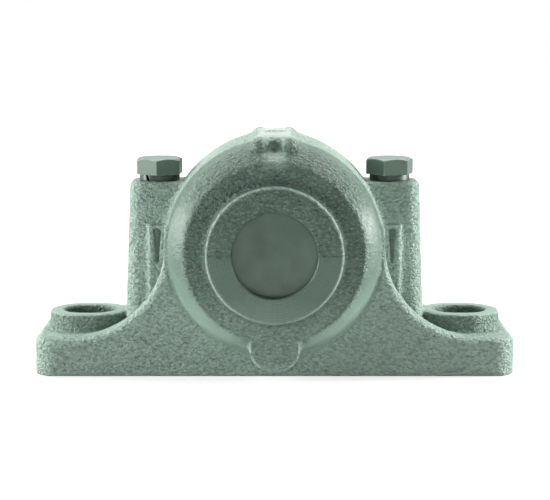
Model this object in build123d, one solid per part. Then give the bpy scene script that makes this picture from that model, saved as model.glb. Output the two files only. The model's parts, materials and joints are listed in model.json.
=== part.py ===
from build123d import *
import os
from math import hypot, pi, sin, sqrt

# Split plummer block for a 30 mm shaft, with a self-aligning ball bearing on an adapter sleeve.
# Millimetres. X runs along the foot, Y along the shaft with the closed side at -Y, and Z is up.
# The origin is on the underside of the foot, below the middle of the bore.

# Shaft, adapter sleeve, lock nut and lock washer
shaft_diameter = 30.0
sleeve_wall = 2.5  # at the thread, which is the thin end of the cone
sleeve_length = 29.0
sleeve_tail = 2.0  # how far the thick end stands out behind the bearing
sleeve_slot = 5.0
bore_taper = 1 / 12  # on the diameter
nut_wall = 8.5
nut_width = 8.0
nut_notch_width = 5.0
nut_notch_depth = 2.0
washer_thickness = 1.25
washer_tooth_count = 13
washer_tooth_width = 4.6
washer_rim = 5.8  # flat ring outside the thread
washer_reach = 9.4  # to the tips of the teeth

# Self-aligning ball bearing with two rows of balls
bearing_diameter = 72.0
ball_diameter = 8.73
balls_per_row = 15
row_gap = 1.0  # between a ball and its neighbour in the other row
ring_side = 0.15  # the rings stand out this far past the balls
ball_gap = 0.1
pocket_gap = 0.12
groove_depth = 1.3
cage_thickness = 4.2
cage_side = 1.3  # the cage stops this far inside the rings
ring_chamfer = 1.0

# Housing: seat, chambers and collars, from the middle outwards
seat_gap = 0.02
locating_ring_width = 8.5
locating_ring_depth = 4.5
locating_ring_opening = 30.0  # degrees, at the top
seat_shoulder = 3.0
chamber_length = 12.0
inner_lip = 3.5
seal_groove_width = 5.0
seal_groove_depth = 5.5
outer_lip = 3.5
shaft_room = 1.5  # between the shaft and the lips
collar_wall = 4.4
collar_root = 2.2  # radius where the collar grows out of the end wall
collar_edge = 0.8
barrel_wall = 7.78  # over the bearing, where the barrel is thickest
barrel_floor = 6.2  # foot metal under the barrel
barrel_crown = 140.0  # radius of the barrel's curved side, seen across the shaft
end_wall = 6.5
shoulder_start = 34.6  # radius where the flat of the end wall stops
shoulder_length = 8.5
shoulder_radius = 18.0

# Foot, pads, slots and webs
slot_spacing = 150.0
slot_length = 20.0
slot_width = 15.0
slot_chamfer = 0.8
pad_rim = 6.3
pad_rise = 7.0
pad_draft = 4.0  # degrees
pad_edge = 1.2
foot_end = 9.5
foot_width = 52.0
foot_thickness = 15.0
foot_corner = 8.0
foot_edge = 2.4
web_thickness = 8.5
web_radius = 36.8
web_half = 42.9  # from the middle to where the webs end, below the joint
flange_height = 8.0  # of the cap's joint flange
tongue_radius = 9.9
tongue_floor = 3.5
pocket_wall = 7.0
pocket_length = 30.0
pocket_width = 18.0
pocket_roof = 6.0
pocket_corner = 4.0

# Bolt towers, cap bolts, spring washers and dowel pins
bolt_diameter = 10.0
bolt_length = 50.0
bolt_head_height = 6.4
bolt_head_flats = 17.0
head_bevel_start = 0.97  # of the way out to the flats, where a 30 degree bevel begins
bolt_chamfer = 1.0
bolt_turns = (-3.5, -17.0)  # degrees that each head ended up at
thread_gap = 0.05
bolt_room = 0.5
drill_depth = 3.0  # past the end of the bolt
bolt_inner_wall = 4.5  # between the bolt hole and the seat
spring_washer_width = 3.0
spring_washer_thickness = 2.5
spring_washer_slit = 1.0
slit_angles = (-123.0, 140.0)  # degrees
tower_wall = 8.2
tower_half_width = 13.2
tower_corner = 5.5
tower_rise = 24.7
tower_draft = 2.1  # degrees
tower_edge = 1.5
lug_width = 7.0
lug_depth = 14.2
lug_drop = 24.0
lug_lintel = 1.2  # metal above the channel
lug_channel_top = 2.8  # width
lug_channel_bottom = 1.0
lug_channel_depth = 1.8
lug_channel_length = 15.5
pin_diameter = 4.0
pin_length = 14.0
pin_end = 0.5
pin_offset = (6.0, 7.5)  # from the bolt

# Boss on top of the cap, with its grease plug
boss_height = 0.25  # above the barrel's middle
boss_depth = 2.5  # down to where its sides meet the barrel
boss_top_width = 11.0
boss_width = 22.0
boss_length = 42.0
horn_radius = 3.3
horn_spacing = 11.4
horn_length = 12.0
horn_overhang = 7.6  # in front of the boss's flat top
horn_rise = 0.2  # above it
notch_width = 4.4
notch_depth = 7.5
plug_diameter = 8.0
plug_length = 6.5
plug_socket = 4.0
plug_socket_depth = 3.0
plug_sink = 0.4

# Seals and end cover
fit_gap = 0.03
side_gap = 0.15
seal_wall = 1.4
seal_lip = 1.1
seal_lip_gap = 0.1
cover_cord = 2.5

# Places worked out from the sizes above
shaft_r = shaft_diameter / 2
thread_r = shaft_r + sleeve_wall
bearing_r = bearing_diameter / 2
ball_r = ball_diameter / 2
pitch_r = (thread_r + bearing_r) / 2
stagger = 2 * pitch_r * sin(pi / (2 * balls_per_row))
row_offset = sqrt((ball_diameter + row_gap) ** 2 - stagger**2) / 2
bearing_width = round(2 * (row_offset + ball_r + ring_side), 1)
bearing_half = bearing_width / 2
raceway_r = hypot(pitch_r, row_offset) + ball_r + ball_gap
land_r = pitch_r - ball_r - ball_gap + groove_depth
sleeve_back = bearing_half + sleeve_tail
sleeve_front = sleeve_back - sleeve_length
nut_r = thread_r + nut_wall
nut_back = -bearing_half - washer_thickness

seat_r = bearing_r + seat_gap
seat_half = bearing_half + locating_ring_width
chamber_r = seat_r - seat_shoulder
chamber_end = seat_half + chamber_length
groove_start = chamber_end + inner_lip
groove_end = groove_start + seal_groove_width
collar_end = groove_end + outer_lip
end_face = chamber_end + end_wall
lip_r = shaft_r + shaft_room
seal_groove_r = lip_r + seal_groove_depth
collar_r = seal_groove_r + collar_wall
barrel_r = seat_r + barrel_wall
centre_height = barrel_floor + barrel_r
shaft_centre = Vector(0, 0, centre_height)
shaft_axis = Axis(shaft_centre, (0, 1, 0))
turning_plane = Plane.XY.offset(centre_height)

foot_length = slot_spacing + slot_length + 2 * foot_end
pad_top = foot_thickness + pad_rise
flange_top = centre_height + flange_height
bolt_r = bolt_diameter / 2
bolt_hole_r = bolt_r + bolt_room
bolt_x = seat_r + bolt_inner_wall + bolt_hole_r
tower_top = centre_height + tower_rise
tower_outer = bolt_x + bolt_hole_r + tower_wall
bolt_seat = tower_top + spring_washer_thickness
bolt_tip = bolt_seat - bolt_length
bolt_hole_bottom = bolt_tip - drill_depth
pocket_top = bolt_hole_bottom - pocket_roof
boss_top = centre_height + barrel_r + boss_height


def turned(profile):
    """A solid of revolution about the shaft, from a sketch of radius against place along the shaft."""
    return revolve(turning_plane * profile, shaft_axis)


def outline(points):
    """A face with straight sides between the points."""
    return make_face(Polyline(*points, close=True))


def along_shaft(radius, start, end):
    """A cylinder on the shaft's axis from one place along it to another."""
    return Pos(0, (start + end) / 2, centre_height) * Rot(X=90) * Cylinder(radius, end - start)


def upright(radius, x, y, low, high):
    """An upright cylinder."""
    return Pos(x, y, (low + high) / 2) * Cylinder(radius, high - low)


def both_ends(points):
    """An outline that is the same at both ends of the shaft, from its points at the +Y end."""
    return outline(points + [(r, -y) for r, y in reversed(points)])


def crown_r(y):
    """Radius of the barrel's curved side at a place along the shaft."""
    return barrel_r - barrel_crown + sqrt(barrel_crown**2 - y**2)


def barrel():
    """The round body, thickest over the bearing, with a rounded shoulder and a collar at each end."""
    shoulder_y = end_face - shoulder_length
    shoulder_end = (crown_r(shoulder_y), shoulder_y)
    end = [
        Line((0, collar_end), (collar_r, collar_end)),
        Line((collar_r, collar_end), (collar_r, end_face)),
        Line((collar_r, end_face), (shoulder_start, end_face)),
        RadiusArc((shoulder_start, end_face), shoulder_end, shoulder_radius),
    ]
    other_end = [mirror(line, Plane.XZ) for line in end]
    side = RadiusArc(shoulder_end, (shoulder_end[0], -shoulder_y), barrel_crown)
    middle = Line((0, collar_end), (0, -collar_end))
    profile = make_face(Curve() + end + [side, middle] + other_end)
    at_collar = profile.vertices().filter_by_position(Axis.X, collar_r - 0.1, collar_r + 0.1)
    roots = [v for v in at_collar if abs(v.Y) < end_face + 0.1]
    profile = fillet(roots, collar_root)
    at_collar = profile.vertices().filter_by_position(Axis.X, collar_r - 0.1, collar_r + 0.1)
    edges = [v for v in at_collar if abs(v.Y) > collar_end - 0.1]
    return turned(fillet(edges, collar_edge))


def barrel_hollow():
    """Seat, grease chambers, seal grooves and lips, cut out of the barrel."""
    steps = [
        (0, collar_end + 1),
        (lip_r, collar_end + 1),
        (lip_r, groove_end),
        (seal_groove_r, groove_end),
        (seal_groove_r, groove_start),
        (lip_r, groove_start),
        (lip_r, chamber_end),
        (chamber_r, chamber_end),
        (chamber_r, seat_half),
        (seat_r, seat_half),
    ]
    return turned(both_ends(steps))


def web():
    """The front web: level with the foot at its ends, then a quarter circle up to the joint flange."""
    half = foot_length / 2
    foot_x = web_half + web_radius
    arc_top = foot_thickness + web_radius
    rise = Line((half, 0), (half, foot_thickness))
    level = Line((half, foot_thickness), (foot_x, foot_thickness))
    sweep_up = RadiusArc((foot_x, foot_thickness), (web_half, arc_top), web_radius)
    side = Line((web_half, arc_top), (web_half, flange_top))
    top = Line((web_half, flange_top), (0, flange_top))
    right = [rise, level, sweep_up, side, top]
    left = [mirror(line, Plane.YZ) for line in right]
    bottom = Line((-half, 0), (half, 0))
    face = make_face(Curve() + right + left + [bottom])
    inner = Plane.XZ.offset(foot_width / 2 - web_thickness)
    return extrude(inner * face, web_thickness)


def foot():
    """Foot plate and both webs, with the plan's corners and the outer upper edges rounded."""
    plan = RectangleRounded(foot_length, foot_width, foot_corner)
    plate = extrude(plan, foot_thickness)
    front = web()
    block = plate + (front + mirror(front, Plane.XZ)) & extrude(plan, flange_top + 1)
    past_web = foot_length / 2 - foot_corner
    upper = block.edges().filter_by(lambda edge: (edge @ 0.5).Z > foot_thickness - 0.01)
    sides = upper.filter_by(lambda edge: abs(abs((edge @ 0.5).Y) - foot_width / 2) < 0.01)
    ends = upper.filter_by(lambda edge: abs((edge @ 0.5).X) > past_web)
    return fillet(ShapeList(set(sides + ends)), foot_edge)


def pad(x):
    """The raised seat for a fixing bolt."""
    width = slot_width + 2 * pad_rim
    plan = SlotOverall(slot_length + 2 * pad_rim, width)
    low = foot_thickness - 1
    block = extrude(Pos(x, 0, low) * plan, pad_top - low, taper=pad_draft)
    return fillet(block.edges().group_by(Axis.Z)[-1], pad_edge)


def slot(x):
    """The fixing slot with a chamfered mouth."""
    through = extrude(Pos(x, 0, -1) * SlotOverall(slot_length, slot_width), pad_top + 2)
    wide = SlotOverall(slot_length + 4 * slot_chamfer, slot_width + 4 * slot_chamfer)
    mouth = extrude(Pos(x, 0, pad_top + slot_chamfer) * wide, -3 * slot_chamfer, taper=45)
    return through + mouth


def tower(side):
    """The bolt tower, from the foot to the bolt's seat, narrower at the top."""
    base = foot_thickness - 1
    lean = (tower_top - base) * sin(tower_draft * pi / 180)
    inner = seat_r - 2 * barrel_wall
    sections = []
    for z, inset in ((base, 0), (tower_top, lean)):
        outer = tower_outer - inset
        plan = RectangleRounded(outer - inner, 2 * (tower_half_width - inset), tower_corner)
        sections.append(Pos(side * (outer + inner) / 2, 0, z) * plan)
    column = loft(sections, ruled=True)
    return fillet(column.edges().group_by(Axis.Z)[-1], tower_edge)


def lug(side):
    """The joint flange in front of and behind the tower, with an upright channel."""
    low = flange_top - flange_height - lug_drop
    middle = side * (web_half + lug_width / 2)
    height = flange_top - low
    block = Pos(middle, 0, low + height / 2) * Box(lug_width, 2 * lug_depth, height)
    top = flange_top - lug_lintel
    half_top = lug_channel_top / 2
    half_bottom = lug_channel_bottom / 2
    bottom = top - lug_channel_length
    channel = outline([(-half_top, top), (half_top, top), (half_bottom, bottom), (-half_bottom, bottom)])
    for face in (-lug_depth, lug_depth):
        block -= Pos(middle, face, 0) * extrude(Plane.XZ * channel, lug_channel_depth, both=True)
    return block


def tongue():
    """The rounded boss under the barrel, level with its end walls."""
    middle = tongue_floor + tongue_radius
    upper = centre_height - chamber_r
    shape = Pos(0, middle) * Circle(tongue_radius)
    shape += Pos(0, (middle + upper) / 2) * Rectangle(2 * tongue_radius, upper - middle)
    return extrude(Plane.XZ * shape, end_face, both=True)


def boss():
    """The flat on top of the cap, with a rounded horn each side of a notch at both ends."""
    half_top = boss_top_width / 2
    half = boss_width / 2
    low = boss_top - boss_depth
    section = outline([(-half, low), (-half_top, boss_top), (half_top, boss_top), (half, low)])
    block = extrude(Plane.XZ * section, boss_length / 2, both=True)
    for x in (-horn_spacing / 2, horn_spacing / 2):
        for end in (-1, 1):
            block += horn(x, end)
    return block


def horn(x, end):
    """A short lengthwise ridge with ball-shaped ends."""
    outer = boss_length / 2 + horn_overhang - horn_radius
    inner = outer - horn_length
    z = boss_top + horn_rise - horn_radius
    ridge = Pos(x, end * (outer + inner) / 2, z) * Rot(X=90) * Cylinder(horn_radius, horn_length)
    for y in (outer, inner):
        ridge += Pos(x, end * y, z) * Sphere(horn_radius)
    return ridge


def notch(end):
    """The hollow between the horns, cut back to the end of the boss's flat."""
    start = boss_length / 2
    length = end_face - start + 1
    bottom = boss_top - notch_depth
    height = notch_depth + 2 * horn_rise
    return Pos(0, end * (start + length / 2), bottom + height / 2) * Box(notch_width, length, height)


def pocket(side):
    """The hollow cored into the underside of the foot, below the bolt tower."""
    outer = (slot_spacing - slot_length) / 2 - pocket_wall
    plan = RectangleRounded(pocket_length, pocket_width, pocket_corner)
    return extrude(Pos(side * (outer - pocket_length / 2), 0, -1) * plan, pocket_top + 1)


def housing():
    """The whole casting before it is sawn in two, with everything that is bored through both halves."""
    body = foot() + barrel() + tongue() + boss()
    for side in (-1, 1):
        body += tower(side) + lug(side) + pad(side * slot_spacing / 2)
    body -= barrel_hollow()
    for side in (-1, 1):
        body -= slot(side * slot_spacing / 2)
        body -= notch(side)
        body -= pocket(side)
        body -= pin(side, pin_diameter / 2 + thread_gap, pin_length + 1)
    return body


def pin(side, radius, length):
    """A dowel pin across the joint, beside a bolt."""
    x = side * (bolt_x + pin_offset[0])
    y = side * pin_offset[1]
    return upright(radius, x, y, centre_height - length / 2, centre_height + length / 2)


def housing_halves():
    """The base with its threaded bolt holes, and the cap with its clearance holes and grease hole."""
    whole = housing()
    joint = Plane.XY.offset(centre_height)
    base = split(whole, joint, keep=Keep.BOTTOM)
    cap = split(whole, joint, keep=Keep.TOP)
    for side in (-1, 1):
        base -= upright(bolt_r + thread_gap, side * bolt_x, 0, bolt_hole_bottom, centre_height + 1)
        cap -= upright(bolt_hole_r, side * bolt_x, 0, centre_height - 1, tower_top + 1)
    cap -= upright(plug_diameter / 2 + thread_gap, 0, 0, centre_height, boss_top + 1)
    return base, cap


def cap_bolt(side, turn):
    """A hexagon head bolt: head with a chamfered rim, plain shank with a chamfered tip."""
    corner_r = bolt_head_flats / sqrt(3)
    hexagon = Rot(Z=turn - 90) * RegularPolygon(corner_r, 6)
    head = extrude(Pos(0, 0, bolt_seat) * hexagon, bolt_head_height)
    rim_r = bolt_head_flats / 2 * head_bevel_start
    cone = Cone(rim_r + bolt_head_height * sqrt(3), rim_r, bolt_head_height)
    head &= Pos(0, 0, bolt_seat + bolt_head_height / 2) * cone
    shank = upright(bolt_r, 0, 0, bolt_tip, bolt_seat)
    shank = chamfer(shank.edges().group_by(Axis.Z)[0], bolt_chamfer)
    return Pos(side * bolt_x, 0, 0) * (head + shank)


def spring_washer(side, slit_angle):
    """A split spring washer, pressed flat under the bolt head."""
    inner = bolt_r + 2 * thread_gap
    outer = bolt_r + spring_washer_width
    ring = upright(outer, 0, 0, tower_top, bolt_seat) - upright(inner, 0, 0, tower_top, bolt_seat)
    middle = (inner + outer) / 2
    cutter = Box(2 * spring_washer_width, spring_washer_slit, 3 * spring_washer_thickness)
    slit = Rot(Z=slit_angle) * Pos(middle, 0, 0) * Rot(X=25) * cutter
    ring -= Pos(0, 0, (tower_top + bolt_seat) / 2) * slit
    return Pos(side * bolt_x, 0, 0) * ring


def dowel_pin(side):
    """A hardened pin with chamfered ends, half in the base and half in the cap."""
    body = pin(side, pin_diameter / 2, pin_length)
    return chamfer(body.edges().filter_by(GeomType.CIRCLE), pin_end)


def grease_plug():
    """A set screw with a hexagon socket, a little below the flat of the boss."""
    top = boss_top - plug_sink
    body = upright(plug_diameter / 2, 0, 0, top - plug_length, top)
    body = chamfer(body.edges().group_by(Axis.Z)[0], bolt_chamfer / 2)
    socket = RegularPolygon(plug_socket / sqrt(3), 6)
    return body - extrude(Pos(0, 0, top) * socket, -plug_socket_depth)


def locating_ring(end):
    """An open ring that fills the seat beside the bearing."""
    outer = bearing_r - seat_gap
    inner = bearing_r - locating_ring_depth
    start, stop = sorted((end * bearing_half, end * seat_half))
    ring = along_shaft(outer, start, stop) - along_shaft(inner, start - 1, stop + 1)
    half_opening = outer * sin(locating_ring_opening / 2 * pi / 180)
    mouth = Box(2 * half_opening, 3 * locating_ring_width, outer)
    return ring - Pos(0, (start + stop) / 2, centre_height + outer) * mouth


def outer_ring():
    """The outer ring, with one raceway ground as part of a sphere so that the shaft can tilt."""
    depth = bearing_r - raceway_r * 0.9
    section = Pos(bearing_r - depth / 2, 0) * Rectangle(depth, bearing_width)
    corners = section.vertices().group_by(Axis.X)[-1]
    section = chamfer(corners, ring_chamfer)
    return turned(section - Circle(raceway_r))


def cone_r(y):
    """Radius of the tapered bore at a place along the shaft."""
    return thread_r + (y + bearing_half) * bore_taper / 2


def inner_ring():
    """The inner ring, with a tapered bore and a groove for each row of balls."""
    section = outline(
        [
            (cone_r(-bearing_half), -bearing_half),
            (land_r, -bearing_half),
            (land_r, bearing_half),
            (cone_r(bearing_half), bearing_half),
        ]
    )
    section = chamfer(section.vertices().group_by(Axis.X)[-1], ring_chamfer / 2)
    for y in (-row_offset, row_offset):
        section -= Pos(pitch_r, y) * Circle(ball_r + ball_gap)
    return turned(section)


def ball_places():
    """Where each ball sits, by name: two rows, each turned half a step from the other."""
    step = 360 / balls_per_row
    places = {}
    for row, y, start in (("front", -row_offset, 0), ("rear", row_offset, step / 2)):
        for number in range(balls_per_row):
            turn = Rot(Y=start + number * step)
            place = Pos(shaft_centre) * turn * Pos(0, y, pitch_r)
            places[f"ball_{row}_{number + 1:02d}"] = place
    return places


def ball_cage(places):
    """A cage that holds both rows of balls in open-sided pockets."""
    inner = pitch_r - cage_thickness / 2
    outer = pitch_r + cage_thickness / 2
    half = bearing_half - cage_side
    cage = along_shaft(outer, -half, half) - along_shaft(inner, -half - 1, half + 1)
    for place in places.values():
        cage -= place * Sphere(ball_r + pocket_gap)
    return cage


def adapter_sleeve():
    """The slotted sleeve: straight bore on the shaft, tapered outside in the ring, thread for the nut."""
    section = outline(
        [
            (shaft_r, sleeve_front),
            (thread_r - fit_gap, sleeve_front),
            (thread_r - fit_gap, -bearing_half),
            (cone_r(sleeve_back) - fit_gap, sleeve_back),
            (shaft_r, sleeve_back),
        ]
    )
    slot_box = Box(sleeve_slot, 3 * sleeve_length, 2 * thread_r)
    return turned(section) - Pos(0, 0, centre_height + thread_r) * slot_box


def lock_nut():
    """A round nut with four notches for a hook spanner."""
    front = nut_back - nut_width
    body = along_shaft(nut_r, front, nut_back)
    rims = body.edges().filter_by(GeomType.CIRCLE)
    body = chamfer(rims, ring_chamfer) - along_shaft(thread_r + fit_gap, front - 1, nut_back + 1)
    notch_box = Box(nut_notch_width, 2 * nut_width, 2 * nut_notch_depth)
    for quarter in range(4):
        cut = Pos(0, (front + nut_back) / 2, 0) * Rot(Y=90 * quarter) * Pos(0, 0, nut_r) * notch_box
        body -= Pos(0, 0, centre_height) * cut
    return body


def lock_washer():
    """A toothed washer: one tab inside the sleeve's slot, one tooth bent into a notch of the nut."""
    front = nut_back
    rim_r = thread_r + washer_rim
    tip_r = thread_r + washer_reach
    middle = front + washer_thickness / 2
    body = along_shaft(rim_r, front, front + washer_thickness)
    tooth_length = tip_r - thread_r - 1
    tooth_box = Box(washer_tooth_width, washer_thickness, tooth_length)
    for number in range(1, washer_tooth_count):
        turn = Rot(Y=360 / washer_tooth_count * number)
        body += Pos(0, middle, centre_height) * turn * Pos(0, 0, tip_r - tooth_length / 2) * tooth_box
    body -= along_shaft(thread_r + 2 * fit_gap, front - 1, front + washer_thickness + 1)
    tab_length = (sleeve_wall + washer_rim) / 2
    tab = Box(washer_tooth_width, washer_thickness, tab_length)
    body += Pos(0, middle, centre_height + thread_r + washer_rim / 2 - tab_length / 2) * tab
    bent_low = nut_r - nut_notch_depth + fit_gap
    bent_length = nut_width / 2 + washer_thickness
    bent = Box(washer_tooth_width, bent_length, washer_thickness)
    bent_y = front + washer_thickness - bent_length / 2
    body += Pos(0, bent_y, centre_height + bent_low + washer_thickness / 2) * bent
    root = Box(washer_tooth_width, washer_thickness, bent_low + washer_thickness - thread_r - 1)
    root_z = (bent_low + washer_thickness + thread_r + 1) / 2
    return body + Pos(0, middle, centre_height + root_z) * root


def shaft_seal():
    """The two halves of the rubber seal in the rear groove, with two lips towards the shaft."""
    near = groove_start + side_gap
    far = groove_end - side_gap
    outer = seal_groove_r - fit_gap
    web_r = lip_r + shaft_room
    lip_end = shaft_r + seal_lip_gap
    section = outline(
        [
            (outer, near),
            (outer, far),
            (web_r, far),
            (lip_end, far),
            (lip_end, far - seal_lip / 2),
            (web_r, far - seal_wall),
            (web_r, near + seal_wall),
            (lip_end, near + seal_lip / 2),
            (lip_end, near),
            (web_r, near),
        ]
    )
    ring = turned(section)
    joint = Plane.XY.offset(centre_height)
    return split(ring, joint, keep=Keep.BOTTOM), split(ring, joint, keep=Keep.TOP)


def end_cover():
    """The disc in the front groove that closes the housing, with a groove in its rim for the cord."""
    front = -groove_end + side_gap
    back = -groove_start - side_gap
    outer = seal_groove_r - fit_gap
    cord_half = cover_cord / 2 + fit_gap
    bottom = seal_groove_r - cover_cord - 2 * fit_gap
    middle = (front + back) / 2
    section = outline(
        [
            (0, front),
            (outer, front),
            (outer, middle - cord_half),
            (bottom, middle - cord_half),
            (bottom, middle + cord_half),
            (outer, middle + cord_half),
            (outer, back),
            (0, back),
        ]
    )
    return turned(section)


def cover_cord_ring():
    """The round sealing cord in the rim of the end cover."""
    middle = -(groove_start + groove_end) / 2
    ring_r = seal_groove_r - cover_cord / 2 - fit_gap
    return turned(Pos(ring_r, middle) * Circle(cover_cord / 2))


housing_base, housing_cap = housing_halves()
seal_lower, seal_upper = shaft_seal()
places = ball_places()
parts = {
    "housing_base": housing_base,
    "housing_cap": housing_cap,
    "cap_bolt_left": cap_bolt(-1, bolt_turns[0]),
    "cap_bolt_right": cap_bolt(1, bolt_turns[1]),
    "spring_washer_left": spring_washer(-1, slit_angles[0]),
    "spring_washer_right": spring_washer(1, slit_angles[1]),
    "dowel_pin_left": dowel_pin(-1),
    "dowel_pin_right": dowel_pin(1),
    "grease_plug": grease_plug(),
    "end_cover": end_cover(),
    "cover_cord": cover_cord_ring(),
    "shaft_seal_lower": seal_lower,
    "shaft_seal_upper": seal_upper,
    "locating_ring_front": locating_ring(-1),
    "locating_ring_rear": locating_ring(1),
    "bearing_outer_ring": outer_ring(),
    "bearing_inner_ring": inner_ring(),
    "ball_cage": ball_cage(places),
    "adapter_sleeve": adapter_sleeve(),
    "lock_nut": lock_nut(),
    "lock_washer": lock_washer(),
}
for name, place in places.items():
    parts[name] = place * Sphere(ball_r)

os.makedirs("parts", exist_ok=True)
for name, shape in parts.items():
    export_step(shape, f"parts/{name}.step")

# A ball row runs round with the cage, slower than the inner ring that drives it.
contact_cosine = pitch_r / hypot(pitch_r, row_offset)
cage_ratio = (1 - ball_diameter * contact_cosine / (2 * pitch_r)) / 2
print("foot length", foot_length, "centre height", round(centre_height, 3), "boss top", round(boss_top, 3))
print("bearing width", bearing_width, "cage turns per turn of the shaft", round(cage_ratio, 6))
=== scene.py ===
import bmesh
import bpy
import json
import math
import numpy as np
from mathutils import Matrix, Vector

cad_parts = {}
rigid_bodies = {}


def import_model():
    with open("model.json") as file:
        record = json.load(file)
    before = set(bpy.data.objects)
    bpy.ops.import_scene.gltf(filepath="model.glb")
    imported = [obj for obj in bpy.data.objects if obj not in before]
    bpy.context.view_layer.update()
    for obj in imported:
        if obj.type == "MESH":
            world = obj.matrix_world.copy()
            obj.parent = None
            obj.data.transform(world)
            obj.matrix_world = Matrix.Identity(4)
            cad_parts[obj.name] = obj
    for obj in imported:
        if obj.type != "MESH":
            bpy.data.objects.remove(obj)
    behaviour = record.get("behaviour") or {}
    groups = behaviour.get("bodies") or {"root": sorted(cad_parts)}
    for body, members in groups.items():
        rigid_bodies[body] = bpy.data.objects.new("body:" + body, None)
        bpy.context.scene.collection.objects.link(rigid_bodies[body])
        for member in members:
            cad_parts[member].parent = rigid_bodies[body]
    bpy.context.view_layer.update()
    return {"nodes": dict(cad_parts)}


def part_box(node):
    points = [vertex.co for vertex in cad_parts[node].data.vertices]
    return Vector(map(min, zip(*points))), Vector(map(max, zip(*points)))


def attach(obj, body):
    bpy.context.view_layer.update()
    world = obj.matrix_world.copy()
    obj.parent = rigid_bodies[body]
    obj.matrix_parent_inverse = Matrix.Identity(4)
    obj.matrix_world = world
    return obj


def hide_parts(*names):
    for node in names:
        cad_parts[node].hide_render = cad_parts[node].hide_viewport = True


for leftOver in list(bpy.data.objects):
    bpy.data.objects.remove(leftOver)

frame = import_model()
nodes = frame["nodes"]
mm = 0.001
print("frame loaded with", len(nodes), "nodes")


def spanOf(node):  # a node's lowest and highest corner, in millimetres
    low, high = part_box(node)
    return low / mm, high / mm


baseLow, baseHigh = spanOf("housing_base")
washerLow, washerHigh = spanOf("spring_washer_right")
shaftHeight = baseHigh.z  # the castings part at the height of the shaft
collarFront = -baseLow.y
capTop = spanOf("housing_cap")[1].z
boltAcross = (washerLow.x + washerHigh.x) / 2
towerTop = washerLow.z


class Wire:  # a socket that can stand in plain arithmetic
    def __init__(self, finish, socket):
        self.finish, self.socket = finish, socket

    def __add__(self, other):
        return self.finish.maths("ADD", self, other)

    def __sub__(self, other):
        return self.finish.maths("SUBTRACT", self, other)

    def __rsub__(self, other):
        return self.finish.maths("SUBTRACT", other, self)

    def __mul__(self, other):
        return self.finish.maths("MULTIPLY", self, other)

    def __neg__(self):
        return self.finish.maths("MULTIPLY", self, -1)

    __radd__ = __add__
    __rmul__ = __mul__


class Finish:  # the nodes of one material, or of the world
    def __init__(self, name, tree=None):
        self.material = None
        if tree is None:
            self.material = bpy.data.materials.new(name)
            self.material.use_nodes = True
            tree = self.material.node_tree
        self.tree = tree
        self.tree.nodes.clear()

    def add(self, kind, settings=None, sockets=None, out=0):
        node = self.tree.nodes.new(kind)
        for key, value in (settings or {}).items():
            if key == "stops":
                ramp = node.color_ramp
                while len(ramp.elements) < len(value):
                    ramp.elements.new(0.5)
                for element, (spot, grey) in zip(ramp.elements, value):
                    element.position = spot
                    element.color = (grey, grey, grey, 1)
            else:
                setattr(node, key, value)
        for key, value in (sockets or {}).items():
            if isinstance(value, Wire):
                self.tree.links.new(value.socket, node.inputs[key])
            else:
                node.inputs[key].default_value = value
        return Wire(self, node.outputs[out]) if node.outputs else node

    def maths(self, how, *values):
        return self.add("ShaderNodeMath", {"operation": how}, dict(enumerate(values)))

    def place(self, along=(1, 1, 1)):  # the point on the part, in millimetres, each axis times its share
        spot = self.add("ShaderNodeTexCoord", out="Object")
        shares = tuple(share / mm for share in along)
        return self.add("ShaderNodeVectorMath", {"operation": "MULTIPLY"}, {0: spot, 1: shares})

    def axis(self, place, name):
        return self.add("ShaderNodeSeparateXYZ", None, {0: place}, out=name)

    def aroundShaft(self):  # distance from the shaft's middle line, and the turn about it
        middle = {0: self.place(), 1: (0, 0, shaftHeight)}
        spot = self.add("ShaderNodeVectorMath", {"operation": "SUBTRACT"}, middle)
        flat = self.add("ShaderNodeVectorMath", {"operation": "MULTIPLY"}, {0: spot, 1: (1, 0, 1)})
        away = self.add("ShaderNodeVectorMath", {"operation": "LENGTH"}, {0: flat}, out="Value")
        return away, self.maths("ARCTAN2", self.axis(spot, "Z"), self.axis(spot, "X"))

    def noise(self, place, size, detail, seed, rough=0.5):
        sockets = {"Vector": place, "Scale": 1 / size, "Detail": detail, "Roughness": rough, "W": seed}
        return self.add("ShaderNodeTexNoise", {"noise_dimensions": "4D"}, sockets)

    def ramp(self, value, stops):
        return self.add("ShaderNodeValToRGB", {"stops": stops}, {0: value})

    def mask(self, name):
        return self.add("ShaderNodeAttribute", {"attribute_name": name}, out="Fac")

    def blend(self, share, first, second):
        return self.add("ShaderNodeMix", {"data_type": "RGBA"}, {0: share, 6: first, 7: second}, out=2)

    def bump(self, height):  # height in millimetres
        return self.add("ShaderNodeBump", None, {"Height": height, "Distance": mm, "Strength": 1.0})

    def end(self, shader, kind="ShaderNodeOutputMaterial"):
        self.add(kind, None, {"Surface": shader})
        return self.material

    def surface(self, **sockets):
        words = {name.replace("_", " "): value for name, value in sockets.items()}
        return self.end(self.add("ShaderNodeBsdfPrincipled", None, words))


def tone(colour, times=1.0):  # a colour as it is seen, 0 to 255, made lighter or darker
    def straight(value):
        share = min(255, value * times) / 255
        return share / 12.92 if share <= 0.04045 else ((share + 0.055) / 1.055) ** 2.4
    return (*map(straight, colour), 1)


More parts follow.
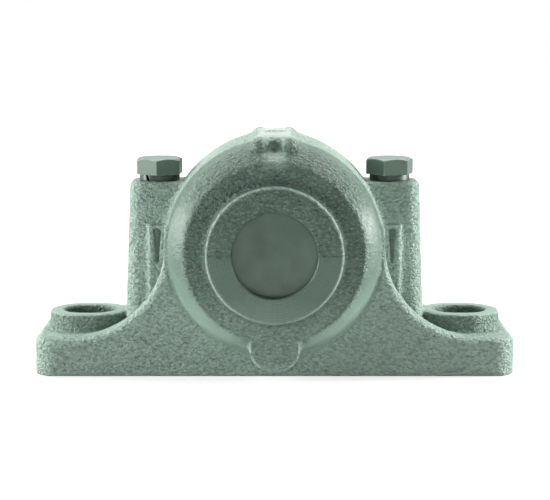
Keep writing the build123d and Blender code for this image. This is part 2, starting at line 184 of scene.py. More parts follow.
paintLook = {
    "light": (160, 186, 171),  # the paint where light is painted: on the foot, the webs and the towers
    "dark": (91, 116, 101),  # the paint where shade is painted, round the shaft
    "glint": (180, 200, 190),  # painted highlight on edges and on the tops of the grain
    "bossSheen": (178, 196, 186),  # painted sheen on the flat of the boss
    "bossSheenShare": 0.8,
    "patchy": 0.14,  # how much the tone drifts
    "deep": 0.40,  # share of the tone left where shade is painted, in the grain's hollows and in hollow corners
    "pitShade": 0.25,
    "ringShade": 0.05,
    "fanShade": 0.16,
    "roughness": 0.40,  # of smooth paint
    "castRoughness": 0.10,  # more, on the cast skin
    "gritRoughness": 0.06,
    "polishing": 0.26,  # less, on the flat of the boss
    "drawn": 0.6,  # the grain is drawn out sideways
    "patch": 13.0,  # sizes in millimetres
    "peel": 1.05,
    "pebble": 1.0,
    "grit": 0.46,
    "pit": 1.35,
    "lump": 1.08,
    "ring": 1.05,  # spacing of the turning marks
    "fan": 22.0,  # streaks that run outwards over the turned face
    "fanFade": 0.04,
    "peelHeight": 0.70,
    "pebbleHeight": 0.55,
    "gritHeight": 0.62,
    "pitDepth": 0.45,
    "lumpHeight": 0.45,
    "fineHeight": 0.03,
    "ringHeight": 0.035,
}
paintStops = {  # a place on the ramp and its grey, where a value turns into a share
    "drift": ((0.32, 0.0), (0.68, 1.0)),
    "pits": ((0.32, 1.0), (0.45, 0.0)),
    "lumps": ((0.50, 0.0), (0.68, 1.0)),
    "fans": ((0.35, 0.0), (0.65, 1.0)),
    # painted shade in the gaps of the grain
    "pebbleGaps": ((0.42, 0.0), (0.80, 0.5)),
    "gritGaps": ((0.32, 0.4), (0.48, 0.0)),
    "peelGaps": ((0.34, 0.2), (0.50, 0.0)),
    # painted highlight on the tops of the grain
    "pebbleTops": ((0.08, 0.35), (0.34, 0.0)),
    "gritTops": ((0.58, 0.0), (0.72, 0.3)),
    # painted highlight on standing edges, broken up by the grit
    "edgeGlint": ((0.20, 0.0), (0.85, 0.85)),
    "gritGlint": ((0.38, 0.45), (0.56, 1.0)),
    # painted shade in hollow corners
    "corners": ((0.10, 0.0), (0.80, 0.6)),
}


def castPaint():  # thick grey-green paint over sand-cast iron, with light and shade painted into its colour
    look, stops = paintLook, paintStops
    finish = Finish("castPaint")
    place = finish.place()
    drawnPlace = finish.place((look["drawn"], 1, 1))
    rough, edge, turned = finish.mask("rough"), finish.mask("edge"), finish.mask("turned")
    peel = finish.noise(drawnPlace, look["peel"], detail=2, seed=1)
    cells = {"Vector": drawnPlace, "Scale": 1 / look["pebble"]}
    pebble = finish.add("ShaderNodeTexVoronoi", {"feature": "F1"}, cells)
    grit = finish.noise(place, look["grit"], detail=1.5, seed=2, rough=0.6)
    pits = finish.ramp(finish.noise(drawnPlace, look["pit"], detail=2, seed=4, rough=0.6), stops["pits"])
    lumps = finish.ramp(finish.noise(drawnPlace, look["lump"], detail=1.5, seed=5), stops["lumps"])

    away, turn = finish.aroundShaft()
    rings = finish.maths("SINE", away * (2 * math.pi / look["ring"])) * turned
    sockets = {"X": turn * look["fan"], "Y": away * look["fanFade"]}
    fan = finish.noise(finish.add("ShaderNodeCombineXYZ", None, sockets), 1.0, detail=2, seed=6)
    fans = finish.ramp(fan, stops["fans"]) * turned

    patch = finish.noise(place, look["patch"], detail=3, seed=3)
    drift = (finish.ramp(patch, stops["drift"]) - 0.5) * look["patchy"]
    # painted light and shade: the shade mask blends the shaded paint into the lit paint, with a random drift
    # of tone
    body = finish.blend(finish.mask("shade") + drift, tone(look["dark"]), tone(look["light"]))
    shadedBody = finish.blend(look["deep"], tone((0, 0, 0)), body)
    # painted shade in the gaps and pits of the grain, added to the turning marks and the fans
    gaps = finish.ramp(pebble, stops["pebbleGaps"]) + finish.ramp(grit, stops["gritGaps"])
    gaps = gaps + pits * look["pitShade"] + finish.ramp(peel, stops["peelGaps"])
    hollow = rough * gaps + rings * look["ringShade"] + fans * look["fanShade"]
    body = finish.blend(hollow, body, shadedBody)
    # painted highlight on the tops of the grain
    tops = finish.ramp(pebble, stops["pebbleTops"]) + finish.ramp(grit, stops["gritTops"])
    body = finish.blend(rough * tops, body, tone(look["glint"]))
    # painted highlight along standing edges
    glintShare = finish.ramp(edge, stops["edgeGlint"]) * finish.ramp(grit, stops["gritGlint"])
    body = finish.blend(glintShare, body, tone(look["glint"]))
    # painted sheen on the flat of the boss
    body = finish.blend(finish.mask("smooth") * look["bossSheenShare"], body, tone(look["bossSheen"]))
    # painted shade in hollow corners
    body = finish.blend(finish.ramp(-edge, stops["corners"]), body, shadedBody)

    coarse = peel * look["peelHeight"] - pebble * look["pebbleHeight"] + grit * look["gritHeight"]
    coarse = coarse - pits * look["pitDepth"] + lumps * look["lumpHeight"]
    height = rough * coarse + grit * look["fineHeight"] + rings * look["ringHeight"]
    roughness = rough * look["castRoughness"] + grit * look["gritRoughness"] + look["roughness"]
    roughness = roughness - finish.mask("smooth") * look["polishing"]
    return finish.surface(Base_Color=body, Roughness=roughness, Normal=finish.bump(height))


coverLook = {
    # the cover's paint, darker than the casting's: painted shade of its recess
    "body": (76, 97, 84),
    "lighter": (96, 119, 105),
    "stops": ((0.32, 0.0), (0.68, 1.0)),
    # painted shade towards the rim, under the collar's lip
    "rim": (54, 71, 61),
    "rimFrom": 17.5,  # millimetres from the shaft's middle line
    "rimTo": 21.8,
    "rimShare": 0.45,
    "roughness": 0.36,
    "grainRoughness": 0.15,
    "patch": 9.0,
    "grain": 0.8,
    "grainHeight": 0.02,
    "streaks": 20.0,
    "streakFade": 0.05,
    "streakShare": 0.15,
    "streakHeight": 0.01,
}


def coverPaint():  # smooth pressed disc with faint streaks that run outwards, and painted shade darkening it towards its rim under the collar's lip
    look = coverLook
    finish = Finish("coverPaint")
    place = finish.place()
    patch = finish.noise(place, look["patch"], detail=3, seed=1)
    grain = finish.noise(place, look["grain"], detail=2, seed=2)
    away, turn = finish.aroundShaft()
    sockets = {"X": turn * look["streaks"], "Y": away * look["streakFade"]}
    streak = finish.noise(finish.add("ShaderNodeCombineXYZ", None, sockets), 1.0, detail=3, seed=3)
    share = patch * (1 - look["streakShare"]) + streak * look["streakShare"]
    body = finish.blend(finish.ramp(share, look["stops"]), tone(look["body"]), tone(look["lighter"]))
    rim = finish.add("ShaderNodeMapRange", None, {
        "Value": away, "From Min": look["rimFrom"], "From Max": look["rimTo"], "To Max": look["rimShare"],
    })
    # painted shade towards the rim
    body = finish.blend(rim, body, tone(look["rim"]))
    height = grain * look["grainHeight"] + streak * look["streakHeight"]
    roughness = grain * look["grainRoughness"] + look["roughness"]
    return finish.surface(Base_Color=body, Roughness=roughness, Normal=finish.bump(height))


plainLook = {
    "grain": 0.7,  # millimetres
    "grainRoughness": 0.12,
    "patch": 5.0,
    "patchTimes": 1.14,  # how much lighter the patches are
    # patches of painted highlight on rounded edges, and how much lighter it is
    "glintPatches": 1.4,
    "glintPatchStops": ((0.35, 0.25), (0.6, 1.0)),
    "glintTimes": 1.75,
}


def plainPaint(name, body, roughness, height=0.02, glintShare=0.0):  # the last argument is the share of painted highlight, a lighter colour, on rounded edges
    look = plainLook
    finish = Finish(name)
    place = finish.place()
    grain = finish.noise(place, look["grain"], detail=2, seed=1)
    patch = finish.noise(place, look["patch"], detail=2, seed=2)
    glintPatches = finish.ramp(finish.noise(place, look["glintPatches"], detail=3, seed=3, rough=0.6), look["glintPatchStops"])
    colour = finish.blend(patch, tone(body), tone(body, look["patchTimes"]))
    # painted highlight on rounded edges, broken into patches
    colour = finish.blend(finish.mask("edge") * glintPatches * glintShare, colour, tone(body, look["glintTimes"]))
    dull = grain * look["grainRoughness"] + roughness
    return finish.surface(Base_Color=colour, Roughness=dull, Normal=finish.bump(grain * height))


steelLook = {
    "smear": 6.0,  # millimetres
    "smearShare": 0.7,
    "smearTimes": 0.80,
    "smearRoughness": 0.14,
    "grainRoughness": 0.06,
    "grainHeight": 0.006,
    "marks": 6.0,  # turning marks in a millimetre
    "markTurns": 0.4,
    "markRoughness": 0.08,
    "markHeight": 0.012,
    # painted highlight along rounded edges
    "edgeShare": 0.5,
    "edgeTimes": 1.2,
}


def steel(name, body, roughness, grainSize=0.4, turned=0.0):  # turned is how strongly turning marks show
    look = steelLook
    finish = Finish(name)
    place = finish.place()
    grain = finish.noise(place, grainSize, detail=2, seed=1)
    smear = finish.noise(place, look["smear"], detail=3, seed=2)
    away, turn = finish.aroundShaft()
    along = finish.axis(place, "Y")
    sockets = {"X": away * look["marks"], "Y": along * look["marks"], "Z": turn * look["markTurns"]}
    marks = finish.noise(finish.add("ShaderNodeCombineXYZ", None, sockets), 1.0, detail=2, seed=3)
    share = smear * look["smearShare"] + marks * (1 - look["smearShare"])
    colour = finish.blend(share, tone(body), tone(body, look["smearTimes"]))
    # painted highlight along rounded edges
    colour = finish.blend(finish.mask("edge") * look["edgeShare"], colour, tone(body, look["edgeTimes"]))
    dull = smear * look["smearRoughness"] + grain * look["grainRoughness"] + roughness
    dull = dull + marks * (look["markRoughness"] * turned)
    height = grain * look["grainHeight"] + marks * (look["markHeight"] * turned)
    return finish.surface(Base_Color=colour, Metallic=1.0, Roughness=dull, Normal=finish.bump(height))


finishes = {
    "painted_casting": castPaint(),
    "painted_cover": coverPaint(),
    "painted_bolt": plainPaint("boltPaint", (94, 113, 101), 0.26, height=0.03, glintShare=0.9),
    "washer_steel": steel("washerSteel", (96, 104, 100), 0.30),
    "bright_steel": steel("brightSteel", (186, 188, 188), 0.26, turned=1.0),
    "bearing_steel": steel("ringSteel", (200, 201, 203), 0.14, grainSize=0.3, turned=0.6),
    "cage_plastic": plainPaint("cagePlastic", (196, 184, 152), 0.42),
    "seal_rubber": plainPaint("sealRubber", (44, 46, 46), 0.55, height=0.03),
}
for node in nodes.values():
    for place in node.material_slots:
        place.material = finishes[place.material.name.split(".")[0]]
print("finishes made")


def newPiece(name, mesh):
    piece = bpy.data.objects.new(name, mesh)
    bpy.context.scene.collection.objects.link(piece)
    return piece


def pieceFrom(work, name):  # a piece with the shape that was worked on in bmesh
    mesh = bpy.data.meshes.new(name)
    work.to_mesh(mesh)
    work.free()
    return newPiece(name, mesh)


def applied(piece, kind, **settings):
    modifier = piece.modifiers.new(kind, kind)
    for key, value in settings.items():
        setattr(modifier, key, value)
    seen = piece.evaluated_get(bpy.context.evaluated_depsgraph_get())
    done = bpy.data.meshes.new_from_object(seen)
    piece.modifiers.clear()
    piece.data = done
    return piece


def trianglesIn(piece):
    return sum(len(face.vertices) - 2 for face in piece.data.polygons)


def dress(piece, body, node, slot):  # the piece stands for a node of the frame
    piece.data.materials.clear()
    piece.data.materials.append(finishes[slot])
    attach(piece, body)
    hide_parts(node)
    print(piece.name, "has", trianglesIn(piece), "triangles")
    return piece


scatter = (73856093, 19349663, 83492791, 40503, 1274126177)  # large numbers that mix up the cells of a noise


def softNoise(points, size, seed):  # from -1 to 1, and the same on every run
    grid = points / size
    cell = np.floor(grid).astype(np.int64)
    part = grid - cell
    part = part * part * part * (part * (part * 6 - 15) + 10)
    total = np.zeros(len(points))
    for corner in range(8):
        step = np.array([corner & 1, corner >> 1 & 1, corner >> 2])
        spot = cell + step
        x, y, z = spot.T
        key = x * scatter[0] ^ y * scatter[1] ^ z * scatter[2] ^ seed * scatter[3]
        key = (key ^ key >> 13) * scatter[4]
        value = ((key ^ key >> 16) & 65535) / 32767.5 - 1
        total += value * np.where(step, part, 1 - part).prod(axis=1)
    return total


def rises(value, span):  # smoothly, from 0 at the span's start to 1 at its end
    share = np.clip((value - span[0]) / (span[1] - span[0]), 0, 1)
    return share * share * (3 - 2 * share)


def fades(value, span):
    return 1 - rises(value, span)


class Skin:  # the points of one dense mesh, in millimetres
    def __init__(self, mesh):
        self.mesh = mesh
        spots = np.empty(len(mesh.vertices) * 3)
        mesh.vertices.foreach_get("co", spots)
        ends = np.empty(len(mesh.edges) * 2, np.int64)
        mesh.edges.foreach_get("vertices", ends)
        self.points = spots.reshape(-1, 3) / mm
        self.first, self.second = ends[0::2].copy(), ends[1::2].copy()
        self.count = np.bincount(ends, minlength=len(self.points))

    def mean(self, values):  # of the neighbours of each point
        if values.ndim > 1:
            return np.stack([self.mean(np.ascontiguousarray(part)) for part in values.T], axis=1)
        total = np.bincount(self.first, values[self.second], len(values))
        total += np.bincount(self.second, values[self.first], len(values))
        return total / self.count

    def store(self):
        self.mesh.vertices.foreach_set("co", (self.points * mm).ravel())
        self.mesh.update()

    def normals(self):
        self.store()
        normals = np.empty(self.points.size)
        self.mesh.vertices.foreach_get("normal", normals)
        return normals.reshape(-1, 3)

    def rise(self, normals):  # how far each point stands above its neighbours
        return ((self.points - self.mean(self.points)) * normals).sum(axis=1)

    def ease(self, share):  # each point moves its share of the way to the middle of its neighbours
        self.points += share[:, None] * (self.mean(self.points) - self.points)

    def smooth(self, pulls):
        for pull in pulls:
            self.points += pull * (self.mean(self.points) - self.points)

    def write(self, name, values):
        attribute = self.mesh.attributes.new(name, "FLOAT", "POINT")
        attribute.data.foreach_set("value", values.astype(np.float32))


castLook = {  # sizes in millimetres
    "voxel": 0.62,
    "mostTriangles": 296000,  # both halves together
    "smoothing": (0.5, -0.52),  # a pull in and a push out, so that nothing shrinks
    "blend": 5.0,  # radius of the hollow corners between the castings' forms
    "tightBlend": 2.3,  # round the collars and the pads
    "lobeBlend": 0.7,  # at the ends of the boss
    "notchBlend": 6.0,
    "blendRounds": 150,
    "meltRounds": 90,  # softens the boss before its lobes are formed
    "lobeRounds": 3,
    "wave": 11.0,  # spacing of the slow unevenness
    "waveHeight": 0.12,
    "ripple": 3.4,
    "rippleHeight": 0.08,
    "seam": 0.22,  # half the width of the line where the halves meet
    "seamDepth": 0.07,
    "collarSeamDepth": 0.22,
}
castPlaces = {  # millimetres
    "chamberEnd": 29.4,
    "chamberRadius": 38.0,
    "lipRadius": 22.8,
    "boltHole": 6.4,  # radius
    "boltHoleBelow": 0.5,
    "slotAcross": 75.0,
    "slotHalf": 2.5,  # from the slot's middle to the middle of its round end
    "slotRadius": 8.6,
    "padReach": 14.6,
    "padTop": 22.0,
    "wallFacing": 0.5,  # most that a wall faces up, as a share
    "collarRadius": 26.4,
    "collarStart": 31.5,
    "endFace": 35.5,
    "soleTop": 1.0,
    "nearby": 5.0,  # how far a tight blend reaches
    "bossFoot": capTop - 9,
    "bossHalf": 12.0,
    "lobesStart": 15.0,
    "notchHalf": 3.4,
    "notchStart": 20.2,
    "lugInner": 43.6,
    "lugOuter": 49.2,
    "lugFace": 14.2,
    "lugReach": 2.4,
    "lugLow": shaftHeight - 12,
    "lugHigh": shaftHeight + 8.4,
    "pocket": (62, 10, 13),  # half its length, half its width and its top
    "lobe": (6.0, 27.0, 90.0),
    "lobeRadius": 3.8,
    "lobeEase": 1.5,
}
castSpans = {  # millimetres, the stretch over which a mask rises or fades
    "sole": (0.2, 1.5),
    "barrelRadius": (42, 44),
    "barrelEnd": (17, 20),
    "bandRadius": (33.4, 36.6),  # the bevel round each end of the barrel
    "bandEnd": (24.5, 27.5),
    "bandTop": (62, 76),
    "tongueEnd": (32.5, 34.5),
    "tongueTop": (20, 25),
    "tongueSide": (12, 14),
    "belowShaft": (12, shaftHeight),
    "padWallReach": (14.2, 15.6),
    "padWallFoot": (9.5, 11),
    "padTop": (castPlaces["padTop"] - 1, castPlaces["padTop"] - 0.4),
    "creaseInner": (33.4, 34.3),
    "creaseOuter": (34.5, 35.4),
    "creaseEnd": (33, 34.5),
    "creaseTop": (66, 78),
    "flat": (0.90, 0.98),  # this one and the next are shares, of how far a point faces up
    "nearlyFlat": (0.80, 0.99),
    "turnedFront": (collarFront - 0.8, collarFront - 0.3),
    "turnedTop": (shaftHeight - 0.2, shaftHeight),
    "bossFoot": (capTop - 9, capTop - 6),
    "bossSide": (12, 15),
    "bossHole": (5, 7),
    "bossTop": (capTop - 0.9, capTop - 0.4),
    "bossEnd": (18.5, 20.5),
    "notchSide": (2.6, 6),
    "notchFoot": (capTop - 14, capTop - 8),
}
paintedShadeShares = {  # painted light and shade: what each zone adds to the share of the lit paint, or takes from it
    "barrel": -0.97,
    "barrelBelow": 0.60,
    "bandBelow": 0.30,
    # painted light that lifts the shadow in the notches
    "notch": 0.80,
    "crease": -0.35,
    "padWall": -0.60,
    "padFace": -0.34,
    "tongue": -0.12,
    "turned": -0.22,
}
castGrain = {  # how rough the cast skin is, and what each zone takes from it
    "plain": 0.82,
    "barrel": -0.10,
    "band": -0.60,
    "machined": -0.90,
    "bossTop": -0.80,
    "least": 0.03,
}
edgeLook = {
    "full": 0.07,  # millimetres that a point stands out where its edge takes the full painted highlight
    "plain": 0.62,  # share of the painted highlight that a zone keeps
    "collarHole": 0.10,
    "lobes": 0.40,
    "slots": -0.10,  # the same shadow all over the slots' walls, in millimetres
    "holeRadius": 24.5,  # millimetres
    "holeDepth": 2.0,
    "crispRadius": 28.0,  # the collar's outer edge keeps all its painted highlight
    "crispStart": 34.0,
    "tongue": 0.1,  # and so does each tongue, from this much of its mask
}


class Zones:  # where the points of the casting lie, in millimetres, and the forms that they belong to
    def __init__(self, points):
        at = castPlaces
        x, y, z = points.T.copy()
        side, end = abs(x), abs(y)
        self.side, self.end, self.x, self.y, self.z = side, end, x, y, z
        self.away = np.hypot(x, z - shaftHeight)
        self.slotWay = np.hypot(np.maximum(abs(side - at["slotAcross"]) - at["slotHalf"], 0), y)
        onBoss = z > at["bossFoot"]
        chamber = (self.away < at["chamberRadius"]) & (end < at["chamberEnd"])
        boltHole = (np.hypot(side - boltAcross, y) < at["boltHole"]) & (z < towerTop - at["boltHoleBelow"])
        self.inside = (self.away < at["lipRadius"]) | chamber | boltHole
        self.slots = self.slotWay < at["slotRadius"]
        self.notches = (side < at["notchHalf"]) & (end > at["notchStart"]) & onBoss
        self.lobes = (side < at["bossHalf"]) & (end > at["lobesStart"]) & onBoss
        lug = (side > at["lugInner"]) & (side < at["lugOuter"]) & (abs(end - at["lugFace"]) < at["lugReach"])
        channels = lug & (z > at["lugLow"]) & (z < at["lugHigh"])
        length, width, top = at["pocket"]
        pockets = (z < top) & (end < width) & (side < length)
        self.mayFill = ~(self.inside | self.slots | channels | pockets | (z < at["soleTop"]))
        near = at["nearby"]
        self.collars = (self.away < at["collarRadius"] + near) & (end > at["collarStart"])
        self.pads = (abs(self.slotWay - at["padReach"]) < near) & (z < at["padTop"])


def remeshed():  # both castings as one even skin
    both = bmesh.new()
    for node in ("housing_base", "housing_cap"):
        both.from_mesh(nodes[node].data)
    bmesh.ops.remove_doubles(both, verts=both.verts, dist=0.001 * mm)
    piece = pieceFrom(both, "whole")
    size = castLook["voxel"] * mm
    return applied(piece, "REMESH", mode="VOXEL", voxel_size=size, use_smooth_shade=True)


def fillCorners(skin, zones):  # raises the hollow corners until each has its radius
    look = castLook
    radius = np.where(zones.lobes, look["lobeBlend"], look["blend"])
    radius = np.where(zones.collars | zones.pads, look["tightBlend"], radius)
    radius = np.where(zones.notches, look["notchBlend"], radius)
    least = look["voxel"] ** 2 / (4 * radius)
    for count in range(look["blendRounds"]):
        if count % 10 == 0:
            normals = skin.normals()
        depth = np.clip(-skin.rise(normals) - least, 0, None)
        skin.points += normals * (depth * zones.mayFill)[:, None]
    skin.smooth(look["smoothing"])


def formBoss(skin, zones, notch):  # softens the boss and its notches, and gives it four round lobes
    at, spans = castPlaces, castSpans
    melt = rises(zones.z, spans["bossFoot"]) * fades(zones.side, spans["bossSide"])
    melt = melt * rises(np.hypot(zones.x, zones.y), spans["bossHole"])
    melt = 0.5 * np.maximum(melt, notch)
    for _ in range(castLook["meltRounds"]):
        skin.ease(melt)
    for corner in ((-1, -1), (1, -1), (-1, 1), (1, 1)):
        middle = np.array(at["lobe"]) * (*corner, 1)
        offset = skin.points - middle
        distance = np.linalg.norm(offset, axis=1)
        within = distance < at["lobeRadius"]
        skin.points[within] = middle + offset[within] * (at["lobeRadius"] / distance[within])[:, None]
        for _ in range(castLook["lobeRounds"]):
            skin.ease(0.5 * (distance < at["lobeRadius"] + at["lobeEase"]))


def machinedFaces(zones, facingUp):  # the masks of the pads' tops and of the turned face
    spans = castSpans
    padFace = (zones.slotWay < castPlaces["padReach"]) * rises(facingUp, spans["flat"])
    padFace = padFace * rises(zones.z, spans["padTop"])
    turned = rises(-zones.y, spans["turnedFront"]) * fades(zones.z, spans["turnedTop"])
    return padFace, turned


def unevenSkin(skin, normals, free):  # free is the share of the unevenness that a point takes
    look = castLook
    lift = look["waveHeight"] * softNoise(skin.points, look["wave"], 11)
    lift += look["rippleHeight"] * softNoise(skin.points, look["ripple"], 12)
    skin.points += normals * (lift * free)[:, None]
    skin.store()


def writeEdges(skin, zones, bend, tongue):  # bend is how far a point stands out from its neighbours; the edge mask paints highlight on standing edges and shade in hollow corners and over the slots' walls
    look = edgeLook
    hole = (zones.away < look["holeRadius"]) & (zones.end > collarFront - look["holeDepth"])
    bend = np.where(hole, bend * look["collarHole"], bend)
    bend = np.where(zones.lobes, bend * look["lobes"], bend)
    crisp = (zones.away < look["crispRadius"]) & (zones.end > look["crispStart"])
    crisp |= tongue > look["tongue"]
    bend = np.where(crisp | (bend < 0), bend, bend * look["plain"])
    bend = np.where(zones.slots & (zones.z > castPlaces["soleTop"]), look["slots"], bend)
    skin.write("edge", np.clip(bend / look["full"], -1, 1))


def writePaintedShade(skin, zones, facingUp, notch, padFace, turned):  # paints light and shade by zone into the shade mask and writes the grain masks; returns the mask of the tongues
    spans, shadeShares, grain = castSpans, paintedShadeShares, castGrain
    away, side, end, z = zones.away, zones.side, zones.end, zones.z
    barrel = fades(away, spans["barrelRadius"]) * rises(end, spans["barrelEnd"])
    tongue = rises(end, spans["tongueEnd"]) * fades(z, spans["tongueTop"]) * fades(side, spans["tongueSide"])
    band = rises(away, spans["bandRadius"]) * rises(end, spans["bandEnd"]) * barrel * (1 - tongue)
    below = fades(z, spans["belowShaft"])
    padWall = fades(zones.slotWay, spans["padWallReach"]) * rises(z, spans["padWallFoot"])
    padWall = padWall * (facingUp < castPlaces["wallFacing"])
    crease = rises(away, spans["creaseInner"]) * fades(away, spans["creaseOuter"]) * (1 - tongue)
    crease = crease * rises(end, spans["creaseEnd"]) * fades(z, spans["creaseTop"])
    bossTop = rises(z, spans["bossTop"]) * fades(end, spans["bossEnd"]) * rises(facingUp, spans["nearlyFlat"])
    # painted shade over the barrel, lighter below the shaft; painted light in the notches; painted shade in
    # the creases, on the pad walls and faces, the tongues and the turned face
    shade = 1 + barrel * (shadeShares["barrel"] + shadeShares["barrelBelow"] * below) + shadeShares["bandBelow"] * band * below
    shade += shadeShares["notch"] * notch + shadeShares["crease"] * crease + shadeShares["tongue"] * tongue
    shade += shadeShares["padWall"] * padWall + shadeShares["padFace"] * padFace + shadeShares["turned"] * turned
    rough = grain["plain"] + grain["barrel"] * barrel + grain["band"] * band * fades(z, spans["bandTop"])
    rough += grain["machined"] * np.maximum(padFace, turned) + grain["bossTop"] * bossTop
    skin.write("shade", shade)
    # the flat of the boss: smoother, and given a painted sheen
    skin.write("smooth", bossTop)
    skin.write("rough", np.clip(rough, grain["least"], 1))
    skin.write("turned", turned)
    return tongue


def wholeCasting():
    look, spans = castLook, castSpans
    piece = remeshed()
    skin = Skin(piece.data)
    skin.smooth(look["smoothing"] * 2)
    zones = Zones(skin.points)
    fillCorners(skin, zones)
    notch = fades(zones.side, spans["notchSide"]) * rises(zones.end, spans["bossEnd"])
    notch = notch * rises(zones.z, spans["notchFoot"])
    formBoss(skin, zones, notch)
    normals = skin.normals()
    bend = skin.rise(normals)
    for _ in range(2):
        bend = 0.5 * bend + 0.5 * skin.mean(bend)
    facingUp = normals[:, 2]
    padFace, turned = machinedFaces(zones, facingUp)
    free = np.where(zones.inside, 0, 1) * rises(zones.z, spans["sole"]) * (1 - np.maximum(padFace, turned))
    unevenSkin(skin, normals, free)
    tongue = writePaintedShade(skin, zones, facingUp, notch, padFace, turned)
    writeEdges(skin, zones, bend, tongue)
    triangles = trianglesIn(piece)
    applied(piece, "DECIMATE", ratio=min(1, look["mostTriangles"] / triangles))
    print("casting remeshed,", triangles, "triangles thinned to", trianglesIn(piece))
    return piece


def halfOf(whole, name, node, upper):
    look = castLook
    half = bmesh.new()
    half.from_mesh(whole.data)
    middle = Vector((0, 0, shaftHeight * mm))
    up = Vector((0, 0, 1))
    side = 1 if upper else -1

    def cutAt(point, **clear):
        parts = half.verts[:] + half.edges[:] + half.faces[:]
        bmesh.ops.bisect_plane(half, geom=parts, dist=1e-8, plane_co=point, plane_no=up, **clear)

    cutAt(middle, clear_inner=upper, clear_outer=not upper)
    cutAt(middle + up * side * look["seam"] * mm)
    rim = [edge for edge in half.edges if edge.is_boundary]
    half.normal_update()
    for vert in {vert for edge in rim for vert in edge.verts}:
        onCollar = abs(vert.co.y) > castPlaces["endFace"] * mm
        deep = look["collarSeamDepth"] if onCollar else look["seamDepth"]
        vert.co -= Vector((vert.normal.x, vert.normal.y, 0)).normalized() * deep * mm
    for edge in rim:
        edge.smooth = False
    bmesh.ops.triangle_fill(half, edges=rim, use_beauty=True, use_dissolve=False, normal=-up * side)
    return dress(pieceFrom(half, name), "housing", node, "painted_casting")


whole = wholeCasting()
halfOf(whole, "casting_base", "housing_base", False)
halfOf(whole, "casting_cap", "housing_cap", True)
bpy.data.objects.remove(whole)


def eased(node, size, body, slot, corner=28.0):
    # a node's own shape with its edges rounded, size in millimetres and the least corner in degrees
    work = bmesh.new()
    work.from_mesh(nodes[node].data)
    bmesh.ops.remove_doubles(work, verts=work.verts, dist=0.002 * mm)
    bmesh.ops.dissolve_limit(work, angle_limit=math.radians(0.5), verts=work.verts, edges=work.edges)
    least = math.radians(corner)
    sharp = [edge for edge in work.edges if edge.is_manifold and edge.calc_face_angle() > least]
    rounding = {"offset_type": "OFFSET", "segments": 3, "profile": 0.5, "affect": "EDGES"}
    done = bmesh.ops.bevel(work, geom=sharp, offset=size * mm, clamp_overlap=True, **rounding)
    rounded = set(done["faces"])
    # marks the rounded edges, where the finishes paint a highlight
    glint = work.verts.layers.float.new("edge")
    for vert in work.verts:
        vert[glint] = float(bool(vert.link_faces) and all(face in rounded for face in vert.link_faces))
    for face in work.faces:
        face.smooth = True
    piece = pieceFrom(work, node + "_eased")
    applied(piece, "WEIGHTED_NORMAL", keep_sharp=True, weight=80)
    return dress(piece, body, node, slot)


for side in ("left", "right"):
    eased("cap_bolt_" + side, 0.3, "housing", "painted_bolt")
    eased("spring_washer_" + side, 0.25, "housing", "washer_steel")
    eased("dowel_pin_" + side, 0.4, "housing", "bright_steel")
eased("end_cover", 0.35, "housing", "painted_cover")
eased("grease_plug", 0.2, "housing", "bright_steel")
for side in ("front", "rear"):
    eased("locating_ring_" + side, 0.3, "housing", "bright_steel")
for side in ("lower", "upper"):
    eased("shaft_seal_" + side, 0.15, "housing", "seal_rubber")
eased("adapter_sleeve", 0.2, "rotor", "bright_steel")
eased("lock_nut", 0.4, "rotor", "bright_steel")
eased("lock_washer", 0.15, "rotor", "bright_steel")
eased("bearing_outer_ring", 0.4, "housing", "bearing_steel")
eased("bearing_inner_ring", 0.3, "rotor", "bearing_steel")
print("turned and pressed pieces eased")


cameraLook = {  # millimetres and degrees
    "across": 0.15,
    "away": 600.5,
    "height": 142.3,
    "pitch": 9.11,
    "lens": 98.496,
    "sensor": 36,
    "clip": (0.05, 50),  # metres
}

camera = newPiece("camera", bpy.data.cameras.new("camera"))
camera.location = Vector((cameraLook["across"], -cameraLook["away"], cameraLook["height"])) * mm
camera.rotation_euler = (math.radians(90 - cameraLook["pitch"]), 0, 0)
camera.data.lens = cameraLook["lens"]
camera.data.sensor_width = cameraLook["sensor"]
camera.data.clip_start, camera.data.clip_end = cameraLook["clip"]
bpy.context.scene.camera = camera

lampLook = {  # metres and watts
    "topLamp": {"at": (0.0, 0.40, 0.80), "size": (0.9, 0.5), "power": 8.0},
    "leftLamp": {"at": (-0.88, -0.08, 0.24), "size": (0.36, 0.36), "power": 10.4},
    "rightLamp": {"at": (0.88, 0.05, 0.24), "size": (0.36, 0.36), "power": 13.0},
    "rimLamp": {"at": (-0.75, 0.45, 0.25), "size": (0.3, 0.3), "power": 2.0},
    "frontLamp": {"at": (0.0, -0.95, 0.35), "size": (0.5, 0.3), "power": 1.8},
    "lowLamp": {"at": (0.0, -0.16, 0.004), "size": (0.5, 0.04), "power": 0.165},
}
lampAim = Vector((0, 0, 0.05))
for name, look in lampLook.items():
    lamp = bpy.data.lights.new(name, "AREA")
    lamp.shape = "RECTANGLE"
    lamp.size, lamp.size_y = look["size"]
    lamp.energy = look["power"]
    holder = newPiece(name, lamp)
    holder.location = look["at"]
    holder.visible_camera = False
    holder.rotation_euler = (lampAim - holder.location).to_track_quat("-Z", "Y").to_euler()

worldLook = {  # levels, and the span of directions over which the front turns into the back
    "front": 0.0,
    "back": 0.06,
    "mirrored": 0.95,
    "seen": 1.0,
    "from": -0.4,
    "to": 0.5,
}


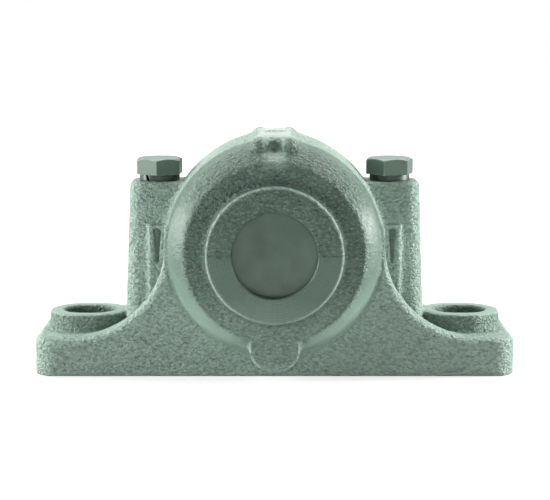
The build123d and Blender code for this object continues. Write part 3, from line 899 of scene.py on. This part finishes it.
def studioWorld():  # dim towards the front, bright behind, and white where the camera sees it
    look = worldLook
    world = bpy.data.worlds.new("studio")
    bpy.context.scene.world = world
    world.use_nodes = True
    studio = Finish("studio", world.node_tree)
    across = studio.axis(studio.add("ShaderNodeTexCoord", out="Generated"), "Y")
    behind = studio.add("ShaderNodeMapRange", {"interpolation_type": "SMOOTHSTEP"}, {
        "Value": across, "From Min": look["from"], "From Max": look["to"],
    })
    front, back, mirrored, plain = [
        studio.add("ShaderNodeBackground", None, {"Color": (1, 1, 1, 1), "Strength": look[level]})
        for level in ("front", "back", "mirrored", "seen")
    ]
    glossy = studio.add("ShaderNodeLightPath", out="Is Glossy Ray")
    seen = studio.add("ShaderNodeLightPath", out="Is Camera Ray")
    mix = "ShaderNodeMixShader"
    lit = studio.add(mix, None, {0: behind, 1: front, 2: back})
    shone = studio.add(mix, None, {0: behind, 1: front, 2: mirrored})
    lit = studio.add(mix, None, {0: glossy, 1: lit, 2: shone})
    lit = studio.add(mix, None, {0: seen, 1: lit, 2: plain})
    studio.end(lit, "ShaderNodeOutputWorld")


studioWorld()

floorLook = {
    "half": 3.0,  # metres
    "bounce": 0.35,
    "seen": 0.55,
    "glowNear": 0.60,
    "glowFar": 1.0,
    "near": 0.20,
    "far": 0.70,
}


def floorFinish():  # pale to the light, and white with a soft shadow to the camera
    look = floorLook
    finish = Finish("paleFloor")
    spot = finish.add("ShaderNodeTexCoord", out="Object")
    away = finish.add("ShaderNodeVectorMath", {"operation": "LENGTH"}, {0: spot}, out="Value")
    far = finish.add("ShaderNodeMapRange", {"interpolation_type": "SMOOTHSTEP"}, {
        "Value": away, "From Min": look["near"], "From Max": look["far"],
    })
    bounce, matt = [
        finish.add("ShaderNodeBsdfDiffuse", None, {"Color": (look[name],) * 3 + (1,)})
        for name in ("bounce", "seen")
    ]
    glowNear, glowFar = [
        finish.add("ShaderNodeEmission", None, {"Color": (1, 1, 1, 1), "Strength": look[name]})
        for name in ("glowNear", "glowFar")
    ]
    glow = finish.add("ShaderNodeMixShader", None, {0: far, 1: glowNear, 2: glowFar})
    white = finish.add("ShaderNodeAddShader", None, {0: matt, 1: glow})
    seen = finish.add("ShaderNodeLightPath", out="Is Camera Ray")
    return finish.end(finish.add("ShaderNodeMixShader", None, {0: seen, 1: bounce, 2: white}))


def floorPiece():
    half = floorLook["half"]
    mesh = bpy.data.meshes.new("floor")
    corners = [(-half, -half, 0), (half, -half, 0), (half, half, 0), (-half, half, 0)]
    mesh.from_pydata(corners, [], [(0, 1, 2, 3)])
    mesh.materials.append(floorFinish())
    newPiece("floor", mesh)


floorPiece()
bpy.context.scene.view_settings.view_transform = "Standard"
print("camera, lamps and floor placed")
